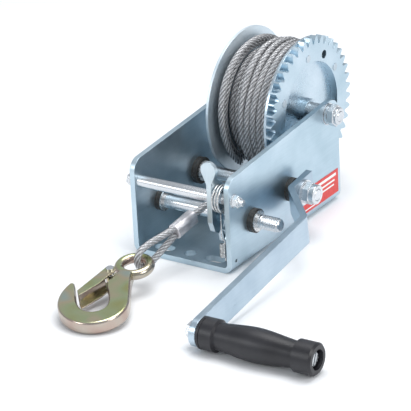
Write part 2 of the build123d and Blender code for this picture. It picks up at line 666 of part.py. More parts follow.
def make_crank_arm():
    edge_plane = Plane(origin=(0, CRANK_Y, CRANK_Z), x_dir=ARM_ALONG, z_dir=ARM_ACROSS)
    hub_face = ARM_HUB_X + ARM_THICK
    tip = ARM_REACH + ARM_WIDTH / 2 + 2
    with BuildPart() as arm:
        with BuildSketch(edge_plane.offset(-ARM_WIDTH / 2)):
            with BuildLine():
                FilletPolyline(
                    (-ARM_HUB_REAR, hub_face),
                    (ARM_HUB_FRONT, hub_face),
                    (ARM_STEP_END, ARM_STEP_X),
                    (tip, ARM_STEP_X + (tip - ARM_STEP_END) * math.tan(FLARE)),
                    radius=[4.0, 4.0 + ARM_THICK],
                )
                offset(amount=ARM_THICK, side=Side.RIGHT)
            make_face()
        extrude(amount=ARM_WIDTH)
        with BuildSketch(BAR_END.offset(-ARM_THICK - 2)):
            with Locations((ARM_WIDTH / 2, 0)):
                Rectangle(ARM_WIDTH, ARM_WIDTH + 2)
            Circle(ARM_WIDTH / 2, mode=Mode.SUBTRACT)
        extrude(amount=ARM_THICK + 4, mode=Mode.SUBTRACT)
        with BuildSketch(BAR_END.offset(-ARM_THICK - 2)):
            Circle(GRIP_BOLT_RADIUS + RUN)
        extrude(amount=ARM_THICK + 4, mode=Mode.SUBTRACT)
        # hole with two flats over the shaft
        with BuildSketch(side(ARM_HUB_X - 1, CRANK_Y, CRANK_Z)):
            Circle(THREAD_RADIUS + RUN)
            Rectangle(40, DRIVE_FLATS + 2 * RUN, mode=Mode.INTERSECT)
        extrude(amount=ARM_THICK + 2, mode=Mode.SUBTRACT)
    save(arm, "crank_arm")


def make_crank_fasteners():
    face = ARM_HUB_X + ARM_THICK
    save(rod(face, face + 2, CRANK_Y, CRANK_Z, 11.5, THREAD_RADIUS), "crank_washer")
    save(nut(face + 2, CRANK_Y, CRANK_Z, 18, 7.5, THREAD_RADIUS, 5.0, 9.0), "crank_nut")
    # grip bolt: shank, wide slotted head sunk in the end of the grip
    head = GRIP_LENGTH - HEAD_DEPTH
    with BuildPart() as bolt:
        with BuildSketch(BAR_END.offset(-ARM_THICK - 8)):
            Circle(GRIP_BOLT_RADIUS)
        extrude(amount=head + ARM_THICK + 8)
        with BuildSketch(BAR_END.offset(head)):
            Circle(HEAD_RADIUS)
        extrude(amount=HEAD_HEIGHT)
        top = bolt.faces().sort_by(Axis(GRIP_FOOT, GRIP_AXIS))[-1]
        fillet(top.edges(), 1.6)
        with BuildSketch(BAR_END.offset(head + HEAD_HEIGHT - 1.7)):
            Rectangle(20, 1.8, rotation=60)
        extrude(amount=4, mode=Mode.SUBTRACT)
    save(bolt, "grip_bolt")
    with BuildPart() as locknut:
        with BuildSketch(BAR_END.offset(-ARM_THICK - 6.5)):
            RegularPolygon(13 / math.sqrt(3), 6)
            Circle(GRIP_BOLT_RADIUS, mode=Mode.SUBTRACT)
        extrude(amount=6.5)
    save(locknut, "grip_nut")


def make_grip():
    collar = 15.0
    end_collar = 18.0
    swell_at = 0.46 * GRIP_LENGTH
    start = 0.6
    end = GRIP_LENGTH
    with BuildPart() as grip:
        with BuildSketch(GRIP_SIDE):
            with BuildLine():
                Polyline(
                    (start, GRIP_BOLT_RADIUS + RUN), (start, GRIP_RADIUS - 0.8),
                    (start + 0.8, GRIP_RADIUS), (start + 2.6, GRIP_RADIUS),
                    (start + 3.1, GRIP_RADIUS - 0.7), (start + 3.6, GRIP_RADIUS),
                    (start + collar, GRIP_RADIUS), (start + collar + 1.5, GRIP_NECK + 0.4),
                )
                Spline(
                    (start + collar + 1.5, GRIP_NECK + 0.4),
                    ((start + collar + swell_at) / 2 + 1, (GRIP_NECK + GRIP_SWELL) / 2 + 0.4),
                    (swell_at, GRIP_SWELL),
                    ((swell_at + end - end_collar) / 2, (GRIP_NECK + GRIP_SWELL) / 2 + 0.3),
                    (end - end_collar - 1.5, GRIP_NECK),
                )
                Polyline(
                    (end - end_collar - 1.5, GRIP_NECK), (end - end_collar, GRIP_RADIUS),
                    (end - 1.8, GRIP_RADIUS), (end, GRIP_RADIUS - 1.8), (end, HEAD_POCKET),
                    (end - HEAD_DEPTH - GAP, HEAD_POCKET), (end - HEAD_DEPTH - GAP, GRIP_BOLT_RADIUS + RUN),
                    (start, GRIP_BOLT_RADIUS + RUN),
                )
            make_face()
        revolve(axis=Axis(GRIP_FOOT, GRIP_AXIS))
    save(grip, "grip")


# --- rope and hook --------------------------------------------------------------------
# The rope leaves the bottom of the winding, passes over both geared shafts and runs
# straight down to the hook's eye. Its last stretch is doubled back through a ferrule.
last_corner = Vector(*ROPE_ROUTE[-1])
TAIL = (HOOK_EYE - last_corner).normalized()
FERRULE_START = last_corner + TAIL * TO_FERRULE
FERRULE_END = FERRULE_START + TAIL * FERRULE_LENGTH
FORWARD = (HOOK_FOOT - HOOK_EYE).normalized()
HOOK_RIGHT = FORWARD.cross(Vector(0, 0, 1)).normalized() * -1
HOOK_UP = FORWARD.cross(HOOK_RIGHT)
HOOK_PLANE = Plane(origin=HOOK_EYE, x_dir=FORWARD, z_dir=HOOK_UP)
LATCH_POINT = HOOK_PLANE.from_local_coords(Vector(*LATCH_PIVOT, 0))
print("latch axis passes", LATCH_POINT, "along", HOOK_UP)


def make_rope():
    points = [Vector(*p) for p in ROPE_ROUTE] + [FERRULE_START]
    radii = []
    for before, corner, after in zip(points, points[1:], points[2:]):
        turn = math.radians((corner - before).get_angle(after - corner))
        shorter = min((corner - before).length, (after - corner).length)
        radii.append(0.45 * shorter / math.tan(turn / 2))
    with BuildPart() as run:
        with BuildLine() as path:
            FilletPolyline(*points, radius=radii)
        with BuildSketch(Plane(origin=path.line @ 0, z_dir=path.line % 0)):
            Circle(ROPE / 2)
        sweep()
    length = path.wires()[0].length
    section = math.pi * (ROPE / 2) ** 2
    print("rope radii", radii, "length", length, "volume", run.part.volume, section * length)
    save(run, "rope_run")
    with BuildPart() as ferrule:
        with BuildSketch(Plane(origin=FERRULE_START, x_dir=TAIL.cross(Vector(0, 0, 1)), z_dir=TAIL)):
            Rectangle(FERRULE_WIDTH, FERRULE_HEIGHT)
            fillet(vertices(), 4.5)
        extrude(amount=FERRULE_LENGTH)
        ends = ferrule.edges().group_by(Axis(FERRULE_START, TAIL))
        fillet(ends[0] + ends[-1], 0.8)
    save(ferrule, "ferrule")
    # doubled rope from the ferrule, round the back of the eye and home again
    offset_start = ROPE / 2 + 0.15
    reach = (HOOK_EYE - FERRULE_END).length - EYE_RING_RADIUS
    distance = math.hypot(reach, offset_start)
    lean = math.asin(LOOP_RADIUS / distance) - math.atan2(offset_start, reach)
    straight = math.sqrt(distance ** 2 - LOOP_RADIUS ** 2)
    touch = (straight * math.cos(lean), offset_start + straight * math.sin(lean))
    upward = (Vector(0, 0, 1) - TAIL * TAIL.Z).normalized()
    loop_plane = Plane(origin=FERRULE_END, x_dir=TAIL, z_dir=TAIL.cross(upward))
    with BuildPart() as eye:
        with BuildLine(loop_plane) as path:
            Line((0, offset_start), touch)
            ThreePointArc(touch, (reach + LOOP_RADIUS, 0), (touch[0], -touch[1]))
            Line((touch[0], -touch[1]), (0, -offset_start))
        with BuildSketch(Plane(origin=path.line @ 0, z_dir=path.line % 0)):
            Circle(ROPE / 2)
        sweep()
    length = path.wires()[0].length
    print("rope eye length", length, "volume", eye.part.volume, section * length)
    save(eye, "rope_eye")


def make_hook():
    half = HOOK_THICK / 2
    with BuildPart() as hook:
        with BuildSketch(HOOK_PLANE.offset(-half)):
            with BuildLine():
                Spline((15.5, 6.5), (32, 12.5), (48, 20), (68, 26.2), (86, 20.5), (97, 4),
                       (95.5, -14), (85, -29.5), (70, -38), (57, -40.3), (46.5, -39.5))
                ThreePointArc((46.5, -39.5), (44, -37), (45.5, -34.3))
                Spline((45.5, -34.3), (58, -26.8), (70, -19.5), (78.5, -8), (77, 2),
                       (69, 7.2), (58, 4.8), (46, -2), (35.5, -8.2), (25, -7), (15.5, -6.5))
                Line((15.5, -6.5), (15.5, 6.5))
            make_face()
        extrude(amount=HOOK_THICK)
        rims = [
            e for e in hook.edges()
            if abs(abs(HOOK_PLANE.to_local_coords(e.center()).Z) - half) < 0.01
            and HOOK_PLANE.to_local_coords(e.center()).X > 16
        ]
        fillet(rims, HOOK_RIM)
        # ear that carries the latch
        with BuildSketch(HOOK_PLANE.offset(-half)):
            with Locations(LATCH_PIVOT):
                Circle(5.0)
            with Locations((LATCH_PIVOT[0], LATCH_PIVOT[1] / 2)):
                Rectangle(9.0, -LATCH_PIVOT[1])
        extrude(amount=half + 1)
        with BuildSketch(Plane(origin=HOOK_EYE, x_dir=FORWARD, z_dir=HOOK_RIGHT)):
            with Locations((EYE_RING_RADIUS, 0)):
                Circle(EYE_WIRE_RADIUS)
        revolve(axis=Axis(HOOK_EYE, HOOK_UP))
        with BuildSketch(HOOK_PLANE.offset(-half - 1)):
            with Locations(LATCH_PIVOT):
                Circle(LATCH_PIN_RADIUS)
        extrude(amount=HOOK_THICK + 2, mode=Mode.SUBTRACT)
    save(hook, "hook")


def make_latch():
    gap_face = HOOK_THICK / 2 + GAP
    outer = gap_face + LATCH_SHEET
    pin_end = outer + 1.2
    x, y = LATCH_PIVOT
    with BuildPart() as latch:
        for base in (-outer, gap_face):
            with BuildSketch(HOOK_PLANE.offset(base)):
                with Locations((x, y)):
                    Circle(LATCH_EYE)
                with BuildLine():
                    Polyline((x - 2, y - 4.5), (57, -25.6), (63, -20.8), (41, -12.0),
                             (x, y + LATCH_EYE), (x - 2, y - 4.5))
                make_face()
                with Locations((x, y)):
                    Circle(LATCH_PIN_RADIUS + RUN, mode=Mode.SUBTRACT)
            extrude(amount=LATCH_SHEET)
        with BuildSketch(HOOK_PLANE.offset(-outer)):
            with BuildLine():
                Polyline((27.5, -15.5), (57, -25.6), (57.6, -24.1), (28.1, -14.0), close=True)
            make_face()
        extrude(amount=2 * outer)
    save(latch, "hook_latch")
    with BuildPart() as rivet:
        with BuildSketch(HOOK_PLANE.offset(-pin_end)):
            with Locations(LATCH_PIVOT):
                Circle(LATCH_PIN_RADIUS)
        extrude(amount=2 * pin_end)
        for base in (-pin_end - 0.3, outer + 0.1):
            with BuildSketch(HOOK_PLANE.offset(base)):
                with Locations(LATCH_PIVOT):
                    Circle(3.4)
            extrude(amount=1.4)
    save(rivet, "latch_rivet")
    with BuildPart() as spring:
        with BuildLine() as path:
            Helix(pitch=1.1, height=3.2, radius=3.3,
                  center=HOOK_PLANE.from_local_coords(Vector(x, y, 1.9)), direction=HOOK_UP)
        with BuildSketch(Plane(origin=path.line @ 0, z_dir=path.line % 0)):
            Circle(0.45)
        sweep(is_frenet=True)
    save(spring, "latch_spring")


# --- label ----------------------------------------------------------------------------
def make_label():
    with BuildPart() as label:
        with BuildSketch(side(HALF, -FRONT - LABEL_REAR - LABEL_LENGTH / 2, LABEL_LOW + LABEL_HEIGHT / 2)):
            Rectangle(LABEL_LENGTH, LABEL_HEIGHT)
        extrude(amount=0.3)
    save(label, "label")


os.makedirs("parts", exist_ok=True)
make_frame()
make_tie()
make_axle()
make_drum()
make_shaft(CRANK_Y, CRANK_Z, "crank_shaft")
make_shaft(LOW_Y, LOW_Z, "low_shaft")
make_clips(CRANK_Y, CRANK_Z, "crank_clips")
make_clips(LOW_Y, LOW_Z, "low_clips")
make_bushes()
make_gears()
make_pawl()
make_springs()
make_crank_arm()
make_crank_fasteners()
make_grip()
make_rope()
make_hook()
make_latch()
make_label()
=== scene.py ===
import math
import random

import bpy
from mathutils import Matrix, Vector


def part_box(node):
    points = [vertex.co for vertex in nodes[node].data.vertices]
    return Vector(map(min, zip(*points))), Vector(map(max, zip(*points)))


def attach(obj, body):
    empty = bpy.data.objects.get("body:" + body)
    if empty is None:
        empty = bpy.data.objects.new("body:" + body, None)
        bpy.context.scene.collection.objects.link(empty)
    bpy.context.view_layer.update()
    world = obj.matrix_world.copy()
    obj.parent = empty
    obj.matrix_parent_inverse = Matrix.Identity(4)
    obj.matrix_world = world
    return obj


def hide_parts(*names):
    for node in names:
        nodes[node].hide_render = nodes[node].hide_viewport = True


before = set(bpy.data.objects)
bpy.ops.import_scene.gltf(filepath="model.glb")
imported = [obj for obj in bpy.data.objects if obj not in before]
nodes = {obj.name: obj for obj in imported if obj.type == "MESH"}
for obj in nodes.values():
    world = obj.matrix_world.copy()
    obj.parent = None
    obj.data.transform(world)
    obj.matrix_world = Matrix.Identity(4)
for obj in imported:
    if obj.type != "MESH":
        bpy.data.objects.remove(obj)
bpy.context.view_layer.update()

# --- Camera, floor and light ------------------------------------------------------------
# A small product studio: a pale sheet of paper under the winch, one large soft light
# overhead, one beside the crank and a weak one in front of the open end.
CAMERA_PLACE = Vector((1.2069, -1.8106, 0.9851))
CAMERA_TOWARD_BACK = Vector((0.5106, -0.7583, 0.4053))
CAMERA_UP = Vector((-0.1855, 0.3632, 0.9131))
LENS = 228.85
SENSOR = 36.0
SHIFT = (-0.0537, -0.0018)
FARTHEST = 30.0
camera_data = bpy.data.cameras.new("camera")
camera_data.lens = LENS
camera_data.sensor_width = SENSOR
camera_data.clip_end = FARTHEST
camera_data.shift_x = SHIFT[0]
camera_data.shift_y = SHIFT[1]
camera = bpy.data.objects.new("camera", camera_data)
bpy.context.scene.collection.objects.link(camera)
right = CAMERA_UP.cross(CAMERA_TOWARD_BACK).normalized()
up = CAMERA_TOWARD_BACK.cross(right).normalized()
turn = Matrix((right, up, CAMERA_TOWARD_BACK.normalized())).transposed().to_4x4()
camera.matrix_world = Matrix.Translation(CAMERA_PLACE) @ turn
bpy.context.scene.camera = camera
bpy.context.scene.view_settings.view_transform = "Standard"


class Value:
    """A socket that takes part in arithmetic and comparisons, and leaves Math nodes behind."""

    def __init__(self, paint, socket):
        self.paint = paint
        self.socket = socket

    def math(self, operation, first, second):
        return self.paint.node("ShaderNodeMath", {"operation": operation}, [first, second])

    def __add__(self, other):
        return self.math("ADD", self, other)

    def __sub__(self, other):
        return self.math("SUBTRACT", self, other)

    def __mul__(self, other):
        return self.math("MULTIPLY", self, other)

    def __truediv__(self, other):
        return self.math("DIVIDE", self, other)

    def __rsub__(self, other):
        return self.math("SUBTRACT", other, self)

    def __gt__(self, other):
        return self.math("GREATER_THAN", self, other)

    def __lt__(self, other):
        return self.math("LESS_THAN", self, other)

    __radd__ = __add__
    __rmul__ = __mul__


class Paint:
    """One finish: a Principled surface and the nodes that vary it over a piece."""

    def __init__(self, name, color, roughness, metallic=0.0):
        self.material = bpy.data.materials.new(name)
        self.material.use_nodes = True
        self.tree = self.material.node_tree
        self.surface = self.tree.nodes["Principled BSDF"]
        self.set("Base Color", (*color, 1.0))
        self.set("Roughness", roughness)
        self.set("Metallic", metallic)

    def put(self, socket, value):
        """Sets a socket to a number or colour, or links it to a varying value."""
        if isinstance(value, Value):
            self.tree.links.new(value.socket, socket)
        else:
            socket.default_value = value

    def set(self, name, value):
        self.put(self.surface.inputs[name], value)

    def node(self, kind, settings, inputs, output=0):
        """Any node, from its settings and the values or links of its sockets."""
        made = self.tree.nodes.new(kind)
        for key, value in settings.items():
            if key == "stops":
                ramp = made.color_ramp
                ramp.elements[0].position = value[0][0]
                ramp.elements[0].color = (*value[0][1], 1.0)
                ramp.elements[1].position = value[-1][0]
                ramp.elements[1].color = (*value[-1][1], 1.0)
                for place, shade in value[1:-1]:
                    ramp.elements.new(place).color = (*shade, 1.0)
            else:
                setattr(made, key, value)
        pairs = inputs.items() if isinstance(inputs, dict) else enumerate(inputs)
        for key, value in pairs:
            self.put(made.inputs[key], value)
        return Value(self, made.outputs[output])

    def place(self, stretch=(1.0, 1.0, 1.0)):
        """Position on the piece in metres, stretched for grain that runs one way."""
        here = self.node("ShaderNodeTexCoord", {}, {}, "Object")
        return self.node("ShaderNodeVectorMath", {"operation": "MULTIPLY"}, [here, stretch])

    def split(self, vector):
        """The three numbers of a vector."""
        first = self.node("ShaderNodeSeparateXYZ", {}, [vector])
        return [Value(self, output) for output in first.socket.node.outputs]

    def noise(self, scale, detail=3.0, stretch=(1.0, 1.0, 1.0)):
        inputs = {"Vector": self.place(stretch), "Scale": scale, "Detail": detail}
        return self.node("ShaderNodeTexNoise", {}, inputs)

    def ramp(self, factor, *stops):
        return self.node("ShaderNodeValToRGB", {"stops": stops}, [factor])

    def blend(self, factor, first, second):
        inputs = {0: factor, 6: first, 7: second}
        return self.node("ShaderNodeMix", {"data_type": "RGBA"}, inputs, 2)

    def bump(self, height, depth, edge=0.0):
        """Relief of a depth in metres, and the rounding of the piece's edges."""
        inputs = {"Height": height, "Distance": depth}
        if edge:
            inputs["Normal"] = self.node("ShaderNodeBevel", {"samples": 4}, {"Radius": edge})
        self.set("Normal", self.node("ShaderNodeBump", {}, inputs))


def dress(paint, *names):
    """Gives a finished material to CAD pieces."""
    for name in names:
        piece = nodes[name]
        for index in range(len(piece.material_slots)):
            piece.material_slots[index].material = paint.material
        if not piece.material_slots:
            piece.data.materials.append(paint.material)


def area_light(name, place, aim, size, watts, color):
    data = bpy.data.lights.new(name, "AREA")
    data.shape = "DISK"
    data.size = size
    data.energy = watts
    data.color = color
    lamp = bpy.data.objects.new(name, data)
    lamp.location = place
    lamp.rotation_euler = (Vector(aim) - Vector(place)).to_track_quat("-Z", "Y").to_euler()
    bpy.context.scene.collection.objects.link(lamp)


# each lamp: place and aim in metres, size across, watts, colour
LAMPS = {
    "overhead": ((0.1, 0.2, 1.6), (0.0, 0.0, 0.0), 1.3, 19.0, (1.0, 1.0, 1.0)),
    "crank_side": ((1.5, -0.3, 0.9), (0.0, 0.0, 0.05), 0.8, 9.0, (1.0, 0.99, 0.97)),
    "front": ((-0.7, -1.5, 0.8), (0.0, 0.0, 0.05), 0.7, 6.0, (0.96, 0.98, 1.0)),
}
for name, (place, aim, size, watts, color) in LAMPS.items():
    area_light(name, place, aim, size, watts, color)
WALLS = (0.86, 0.90, 0.95, 1.0)
WALL_LIGHT = 0.60
world = bpy.data.worlds.new("studio")
world.use_nodes = True
world.node_tree.nodes["Background"].inputs["Color"].default_value = WALLS
world.node_tree.nodes["Background"].inputs["Strength"].default_value = WALL_LIGHT
bpy.context.scene.world = world

FLOOR_HALF = 6.0
floor_mesh = bpy.data.meshes.new("floor")
floor_corners = [(-FLOOR_HALF, -FLOOR_HALF, 0), (FLOOR_HALF, -FLOOR_HALF, 0),
                 (FLOOR_HALF, FLOOR_HALF, 0), (-FLOOR_HALF, FLOOR_HALF, 0)]
floor_mesh.from_pydata(floor_corners, [], [(0, 1, 2, 3)])
floor = bpy.data.objects.new("floor", floor_mesh)
bpy.context.scene.collection.objects.link(floor)
paper = Paint("paper", (0.90, 0.91, 0.93), 0.75)
fibre = paper.noise(3.0)
paper.set("Base Color", paper.ramp(fibre, (0.3, (0.89, 0.90, 0.92)), (0.7, (0.92, 0.93, 0.94))))
floor_mesh.materials.append(paper.material)

# --- Wire rope --------------------------------------------------------------------------
# Galvanised rope of six strands laid round a core, 6.35 mm thick. It leaves the bottom of
# the drum, runs over both geared shafts and down through the ferrule, then round the eye.
ROPE = 0.00635
ROPE_LAY = 0.030            # length of rope in which a strand goes once round
STRANDS = 6
STRAND_POINTS = 6
ROUTE_SMOOTHNESS = 14
ROPE_ROUTE = [(0.018, 0.036, 0.037), (0.018, 0.007, 0.057), (0.0098, -0.0547, 0.0496)]
TAIL = Vector((-0.0178, -0.1008, -0.0281)).normalized()
TO_FERRULE = 0.028
FERRULE_LENGTH = 0.025
FERRULE_START = Vector(ROPE_ROUTE[-1]) + TAIL * TO_FERRULE
FERRULE_END = FERRULE_START + TAIL * FERRULE_LENGTH
LOOP_UP = (Vector((0, 0, 1)) - TAIL * TAIL.z).normalized()
# along the rope and above it, from the end of the ferrule round the eye and back
LOOP_ROUTE = [(-0.010, 0.0030), (0.000, 0.0034), (0.014, 0.0054), (0.027, 0.0083), (0.0358, 0.0090),
              (0.0434, 0.0090), (0.0488, 0.0038), (0.0488, -0.0038), (0.0434, -0.0090),
              (0.0358, -0.0090), (0.027, -0.0083), (0.014, -0.0054), (0.000, -0.0034)]


def smooth_line(name, points):
    """Points read from the NURBS spline that has these control points."""
    data = bpy.data.curves.new(name, "CURVE")
    data.dimensions = "3D"
    data.resolution_u = ROUTE_SMOOTHNESS
    spline = data.splines.new("NURBS")
    spline.points.add(len(points) - 1)
    for point, place in zip(spline.points, points):
        point.co = (*place, 1.0)
    spline.order_u = 3
    spline.use_endpoint_u = True
    line = bpy.data.objects.new(name, data)
    bpy.context.scene.collection.objects.link(line)
    bpy.context.view_layer.update()
    graph = bpy.context.evaluated_depsgraph_get()
    mesh = bpy.data.meshes.new_from_object(line.evaluated_get(graph))
    read = [vertex.co.copy() for vertex in mesh.vertices]
    bpy.data.meshes.remove(mesh)
    bpy.data.objects.remove(line)
    return read


def measure(points):
    return sum((b - a).length for a, b in zip(points, points[1:]))


def even(points, step):
    """The same line with its points about a step apart."""
    total = measure(points)
    count = max(2, round(total / step))
    result = [points[0]]
    walked = 0.0
    for a, b in zip(points, points[1:]):
        span = (b - a).length
        while len(result) < count and walked + span >= len(result) * total / count:
            share = (len(result) * total / count - walked) / max(span, 1e-9)
            result.append(a.lerp(b, share))
        walked += span
    result.append(points[-1])
    return result


def strand_section():
    """Outline of six round strands seen end on, as (angle, radius) pairs."""
    centre = ROPE / 3
    strand = ROPE / 6
    outline = []
    for index in range(STRANDS):
        for step in range(STRAND_POINTS):
            off = (step / STRAND_POINTS - 0.5) * 2 * math.pi / STRANDS
            across = centre * math.sin(off)
            reach = math.sqrt(max(strand ** 2 - across ** 2, 0.0))
            outline.append((index * 2 * math.pi / STRANDS + off, centre * math.cos(off) + reach))
    return outline


def lay_rope(lines, name):
    """Mesh of stranded rope along each line, with its own length and angle as UV."""
    section = strand_section()
    around = len(section)
    verts, faces, marks = [], [], []
    for line in lines:
        first = len(verts)
        normal = None
        length = 0.0
        for index, here in enumerate(line):
            ahead = line[min(index + 1, len(line) - 1)]
            behind = line[max(index - 1, 0)]
            along = (ahead - behind).normalized()
            if normal is None:
                normal = along.orthogonal().normalized()
            normal = (normal - along * normal.dot(along)).normalized()
            side = along.cross(normal)
            if index:
                length += (here - behind).length
            twist = 2 * math.pi * length / ROPE_LAY
            for angle, radius in section:
                turned = angle + twist
                verts.append(here + (normal * math.cos(turned) + side * math.sin(turned)) * radius)
                marks.append((length, angle / (2 * math.pi)))
        for ring in range(len(line) - 1):
            for step in range(around):
                a = first + ring * around + step
                b = first + ring * around + (step + 1) % around
                faces.append((a, b, b + around, a + around))
        last = first + (len(line) - 1) * around
        faces.append(tuple(range(first + around - 1, first - 1, -1)))
        faces.append(tuple(range(last, last + around)))
    mesh = bpy.data.meshes.new(name)
    mesh.from_pydata(verts, [], faces)
    layer = mesh.uv_layers.new(name="lay")
    for polygon in mesh.polygons:
        polygon.use_smooth = len(polygon.vertices) == 4
        low = min(marks[mesh.loops[i].vertex_index][1] for i in polygon.loop_indices)
        for i in polygon.loop_indices:
            length, angle = marks[mesh.loops[i].vertex_index]
            if angle - low > 0.5:
                angle -= 1.0
            layer.data[i].uv = (length, angle)
    mesh.update()
    piece = bpy.data.objects.new(name, mesh)
    bpy.context.scene.collection.objects.link(piece)
    return piece


WIRE_PITCH = 0.0035         # length of rope from one thin wire to the next
WIRES_ROUND = 22.5          # thin wires crossed on the way round the rope
WIRE_RELIEF = 0.00022
# grey of the painted shade banded round the rope, one band to each strand
STRAND_SHADE_COLOR = (0.34, 0.34, 0.35, 1.0)
wire = Paint("galvanised_wire", (0.60, 0.61, 0.62), 0.36, 0.75)
lay = wire.node("ShaderNodeUVMap", {"uv_map": "lay"}, {})
length_along, angle_round = wire.split(lay)[:2]
phase = (length_along / WIRE_PITCH + angle_round * WIRES_ROUND) * (2 * math.pi)
wires = wire.node("ShaderNodeMath", {"operation": "SINE"}, [phase])
grime = wire.noise(260.0, 4.0)
# Painted shade: six darker bands round the rope, one to each strand, for the shade between strands.
strand = wire.node("ShaderNodeMath", {"operation": "COSINE"}, [angle_round * (2 * math.pi * STRANDS)])
strand_shade = wire.ramp(strand * -0.5 + 0.5, (0.25, (0.0, 0.0, 0.0)), (0.75, (1.0, 1.0, 1.0)))
# Painted highlight: the colour is lighter on each wire's raised crest. The grime noise varies the tone at
# random.
wire_highlight_and_grime = wire.ramp(wires * 0.16 + grime, (0.20, (0.56, 0.57, 0.59)), (0.5, (0.82, 0.83, 0.85)),
                   (0.8, (0.97, 0.97, 0.98)))
wire.set("Base Color", wire.blend(strand_shade, STRAND_SHADE_COLOR, wire_highlight_and_grime))
wire.set("Roughness", 0.36 + grime * 0.20)
wire.bump(wires, WIRE_RELIEF)

TAIL_STEP = 0.0016          # spacing of the rope's rings on the way to the hook
route = [Vector(p) for p in ROPE_ROUTE] + [FERRULE_START]
loop = [FERRULE_END + TAIL * along + LOOP_UP * above for along, above in LOOP_ROUTE]
rope_path = even(smooth_line("rope_route", route + loop), TAIL_STEP)
rope_length = measure(rope_path)
rope = lay_rope([rope_path], "rope_tail")
rope.data.materials.append(wire.material)
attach(rope, "frame")
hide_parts("rope_run", "rope_eye")

# --- Rope on the drum -------------------------------------------------------------------
# Three layers of the same rope. The lowest lies in even turns and the second only where
# the third rests on it. The third was wound by hand, with one turn strayed to the left.
drum_middle = Vector((0.0, 0.0735, 0.092))
LEAVE_ANGLE = math.radians(235.7)
# each run of the lower layers: radius, turns, and where it starts and ends along the axle
LAYERS = [
    (0.0478, 8, -0.0245, 0.0232),
    (0.0538, 1, -0.0262, -0.0240),
    (0.0538, 4, -0.0015, 0.0225),
]
TOP_LAYER_RADIUS = 0.0597
TOP_TURNS = [-0.0235, -0.0035, 0.0032, 0.0099, 0.0166, 0.0230]
EXIT_X = 0.018
CROSS_FROM = 0.72           # share of a turn after which it crosses to the next place
LIFT_FROM = 0.80            # share of the last turn after which the rope lifts off
EXIT_LIFT = 0.0068
WANDER = 0.0009             # sideways waviness of the top turns
LUMPS = 0.0008              # how far they rise and fall over the turns beneath
SWAY = 0.0005
TURN_STEPS = 130
WOUND_STEP = 0.0028         # spacing of the rope's rings on the drum
draw = random.Random(7)


def on_drum(x, radius, angle):
    return drum_middle + Vector((x, radius * math.cos(angle), radius * math.sin(angle)))


def ease(share, begin):
    """A smooth step from 0 where it begins to 1 at the end of the turn."""
    part = max(0.0, (share - begin) / (1.0 - begin))
    return part * part * (3 - 2 * part)


turns = []
for radius, count, first_x, last_x in LAYERS:
    line = []
    sway = [draw.uniform(-SWAY, SWAY) for _ in range(count + 1)]
    for step in range(count * TURN_STEPS + 1):
        progress = step / TURN_STEPS
        x = first_x + (last_x - first_x) * progress / count
        angle = LEAVE_ANGLE + 2 * math.pi * progress
        x += sway[min(int(progress), count)] * math.sin(angle)
        line.append(on_drum(x, radius, angle))
    turns.append(line)
line = []
for number, start_x in enumerate(TOP_TURNS):
    leaving = number == len(TOP_TURNS) - 1
    next_x = EXIT_X if leaving else TOP_TURNS[number + 1]
    for step in range(TURN_STEPS):
        share = step / TURN_STEPS
        angle = LEAVE_ANGLE - 2 * math.pi * share
        # a turn keeps its place over the top and crosses to the next one underneath
        x = start_x + (next_x - start_x) * ease(share, CROSS_FROM) + WANDER * math.sin(2 * angle + number)
        rise = LUMPS * math.sin(3 * angle + 2 * number)
        if leaving:
            rise += EXIT_LIFT * ease(share, LIFT_FROM)
        line.append(on_drum(x, TOP_LAYER_RADIUS + rise, angle))
line.append(Vector(ROPE_ROUTE[0]))
turns.append(line)
winding = lay_rope([even(line, WOUND_STEP) for line in turns], "wound_rope")
winding.data.materials.append(wire.material)
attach(winding, "drum")
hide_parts("rope_winding")

# --- Ferrule ----------------------------------------------------------------------------
# Aluminium sleeve pressed over the rope and its returning end. The press leaves it dull,
# with small dents and drag marks along its length.
swaged = Paint("swaged_aluminium", (0.80, 0.78, 0.80), 0.42, 0.85)
dents = swaged.noise(420.0, 3.0, (1.0, 0.35, 1.0))
swaged.set("Base Color", swaged.ramp(dents, (0.3, (0.60, 0.58, 0.60)), (0.7, (0.86, 0.84, 0.86))))
swaged.set("Roughness", 0.32 + dents * 0.25)
swaged.bump(dents, 0.0006, 0.0004)
dress(swaged, "ferrule")

# --- Hook and safety latch --------------------------------------------------------------
# Forged steel hook with yellow chromate over zinc, in greenish gold, pink and silver. The surfaces facing
# up get the lighter greenish gold and all others the darker pink and silver: real chromate hues, split by
# painted light on the top. The latch is bent sheet with the same finish.
HOOK_UP = (0.0201, -0.1538, 0.9879)
gold = Paint("yellow_chromate", (0.45, 0.44, 0.26), 0.2, 1.0)
facing = gold.node("ShaderNodeNewGeometry", {}, {}, "Normal")
upward = gold.node("ShaderNodeVectorMath", {"operation": "DOT_PRODUCT"}, [facing, HOOK_UP], "Value")
# Painted light: only surfaces facing up take the lighter chromate colour; all others take the darker one.
facing_up_light = gold.ramp(upward, (0.72, (0.0, 0.0, 0.0)), (0.97, (1.0, 1.0, 1.0)))
oil = gold.noise(38.0, 1.0)
lit_top_chromate = gold.ramp(oil, (0.30, (0.46, 0.46, 0.20)), (0.46, (0.48, 0.54, 0.32)),
                       (0.58, (0.60, 0.52, 0.36)), (0.75, (0.44, 0.56, 0.52)))
shaded_side_chromate = gold.ramp(oil, (0.35, (0.46, 0.35, 0.30)), (0.55, (0.50, 0.45, 0.39)),
                      (0.70, (0.34, 0.31, 0.21)))
gold.set("Base Color", gold.blend(facing_up_light, shaded_side_chromate, lit_top_chromate))
pitting = gold.noise(900.0, 4.0)
gold.set("Roughness", 0.12 + pitting * 0.16)
gold.bump(pitting + oil * 2.0, 0.00008, 0.0008)
dress(gold, "hook", "hook_latch")

# --- Folded frame -----------------------------------------------------------------------
# Five millimetre steel sheet folded into a channel and plated with blue zinc. Rolling
# leaves faint lines along its length and the plating bath leaves soft clouds.


